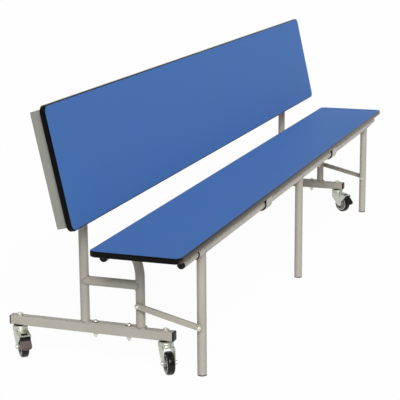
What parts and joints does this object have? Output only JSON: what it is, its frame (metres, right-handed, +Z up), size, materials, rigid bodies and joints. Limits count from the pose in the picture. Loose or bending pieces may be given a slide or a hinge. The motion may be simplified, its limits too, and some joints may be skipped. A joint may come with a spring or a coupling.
{
  "type": "mobile convertible folding bench",
  "caption": "Mobile school bench with a long seat board on a folding leg frame and a long back board that tilts over its uprights to make a table top, on swivel casters.",
  "frame": {"origin": "on the floor, under the middle of the bench's bounding box", "axes": "+X along the bench, -Y the side the sitter's legs are on, +Z up"},
  "size_m": [2.76, 0.685, 0.8691],
  "materials": {
    "laminate": "satin blue laminate on a wood core",
    "edging": "glossy black moulded edge",
    "frame_paint": "satin light grey powder coat",
    "brace_paint": "satin light grey powder coat",
    "strap_steel": "light grey coated strap",
    "black_plastic": "black moulded plastic",
    "zinc": "bright zinc plate",
    "fork_zinc": "bright zinc plated pressing",
    "wheel_core": "grey moulded core",
    "tyre": "black rubber tread",
    "pedal_plastic": "black ribbed plastic",
    "bumper": "black rubber"
  },
  "bodies": {
    "frame": {"base_rail_left": "frame_paint", "base_rail_right": "frame_paint", "rail_end_caps": "black_plastic", "upright_left": "frame_paint", "upright_right": "frame_paint", "post_left": "frame_paint", "post_right": "frame_paint", "cross_bars": "frame_paint", "foot_plates": "frame_paint", "hinge_sleeves": "frame_paint", "hinge_bushes": "black_plastic", "frame_bolts": "zinc", "brace_post_bolts": "zinc", "upright_plugs": "black_plastic", "tie_tube": "frame_paint", "caster_stems": "zinc", "caster_nuts": "zinc"},
    "seat": {"seat_board": "laminate", "seat_edging": "edging", "seat_front_rail": "frame_paint", "seat_rear_rail": "frame_paint", "seat_rail_caps": "black_plastic", "seat_cross_bars": "frame_paint", "seat_clips": "strap_steel", "clip_liners": "black_plastic", "seat_screws": "zinc"},
    "leg_frame": {"torsion_tube": "frame_paint", "torsion_bushes": "black_plastic", "leg_left": "frame_paint", "leg_middle": "frame_paint", "leg_right": "frame_paint", "leg_feet": "black_plastic", "leg_nuts": "zinc"},
    "brace_left": {"brace_left": "brace_paint", "brace_bolt_left": "zinc"},
    "brace_right": {"brace_right": "brace_paint", "brace_bolt_right": "zinc"},
    "back": {"back_board": "laminate", "back_edging": "edging", "back_top_rail": "frame_paint", "back_bottom_rail": "frame_paint", "back_end_channels": "frame_paint", "pivot_cheeks": "frame_paint", "pivot_bolts": "zinc", "back_screws": "zinc", "back_bumpers": "bumper"},
    "caster_front_left": {"caster_fork_front_left": "fork_zinc"},
    "wheel_front_left": {"caster_hub_front_left": "wheel_core", "caster_tyre_front_left": "tyre"},
    "caster_rear_left": {"caster_fork_rear_left": "fork_zinc"},
    "wheel_rear_left": {"caster_hub_rear_left": "wheel_core", "caster_tyre_rear_left": "tyre"},
    "pedal_rear_left": {"brake_pedal_rear_left": "pedal_plastic"},
    "caster_front_right": {"caster_fork_front_right": "fork_zinc"},
    "wheel_front_right": {"caster_hub_front_right": "wheel_core", "caster_tyre_front_right": "tyre"},
    "pedal_front_right": {"brake_pedal_front_right": "pedal_plastic"},
    "caster_rear_right": {"caster_fork_rear_right": "fork_zinc"},
    "wheel_rear_right": {"caster_hub_rear_right": "wheel_core", "caster_tyre_rear_right": "tyre"}
  },
  "joints": [
    {"name": "seat_fold", "type": "hinge", "parent": "frame", "child": "seat", "pos_m": [0, -0.069, 0.405], "axis": [-1, 0, 0], "range_deg": [0, 90]},
    {"name": "leg_fold", "type": "hinge", "parent": "seat", "child": "leg_frame", "pos_m": [0, -0.3165, 0.405], "axis": [-1, 0, 0], "range_deg": [-75, 0]},
    {"name": "brace_left_turn", "type": "hinge", "parent": "frame", "child": "brace_left", "pos_m": [-1.1525, -0.113, 0.2112], "axis": [-1, 0, 0], "range_deg": [0, 98]},
    {"name": "brace_right_turn", "type": "hinge", "parent": "frame", "child": "brace_right", "pos_m": [1.1525, -0.113, 0.2112], "axis": [-1, 0, 0], "range_deg": [0, 98]},
    {"name": "back_tilt", "type": "hinge", "parent": "frame", "child": "back", "pos_m": [0, 0.078, 0.703], "axis": [-1, 0, 0], "range_deg": [0, 77.5]},
    {"name": "swivel_front_left", "type": "hinge", "parent": "frame", "child": "caster_front_left", "pos_m": [-1.128, -0.1965, 0.09], "axis": [0, 0, 1], "continuous": true},
    {"name": "roll_front_left", "type": "hinge", "parent": "caster_front_left", "child": "wheel_front_left", "pos_m": [-1.15632, -0.21707, 0.0375], "axis": [0.5878, -0.809, 0], "continuous": true},
    {"name": "swivel_rear_left", "type": "hinge", "parent": "frame", "child": "caster_rear_left", "pos_m": [-1.128, 0.3115, 0.09], "axis": [0, 0, 1], "continuous": true},
    {"name": "roll_rear_left", "type": "hinge", "parent": "caster_rear_left", "child": "wheel_rear_left", "pos_m": [-1.15481, 0.289, 0.0375], "axis": [0.6428, -0.766, 0], "continuous": true},
    {"name": "brake_rear_left", "type": "hinge", "parent": "caster_rear_left", "child": "pedal_rear_left", "pos_m": [-1.15328, 0.29029, 0.0795], "axis": [-0.6428, 0.766, 0], "range_deg": [0, 8]},
    {"name": "swivel_front_right", "type": "hinge", "parent": "frame", "child": "caster_front_right", "pos_m": [1.128, -0.1965, 0.09], "axis": [0, 0, 1], "continuous": true},
    {"name": "roll_front_right", "type": "hinge", "parent": "caster_front_right", "child": "wheel_front_right", "pos_m": [1.1105, -0.22681, 0.0375], "axis": [0.866, -0.5, 0], "continuous": true},
    {"name": "brake_front_right", "type": "hinge", "parent": "caster_front_right", "child": "pedal_front_right", "pos_m": [1.1115, -0.22508, 0.0795], "axis": [-0.866, 0.5, 0], "range_deg": [0, 8]},
    {"name": "swivel_rear_right", "type": "hinge", "parent": "frame", "child": "caster_rear_right", "pos_m": [1.128, 0.3115, 0.09], "axis": [0, 0, 1], "continuous": true},
    {"name": "roll_rear_right", "type": "hinge", "parent": "caster_rear_right", "child": "wheel_rear_right", "pos_m": [1.10325, 0.28675, 0.0375], "axis": [0.7071, -0.7071, 0], "continuous": true}
  ],
  "couplings": [
    {"joint": "leg_fold", "follows": "seat_fold", "ratio": -0.81883},
    {"joint": "brace_left_turn", "follows": "seat_fold", "ratio": 1.0774},
    {"joint": "brace_right_turn", "follows": "seat_fold", "ratio": 1.0774}
  ]
}
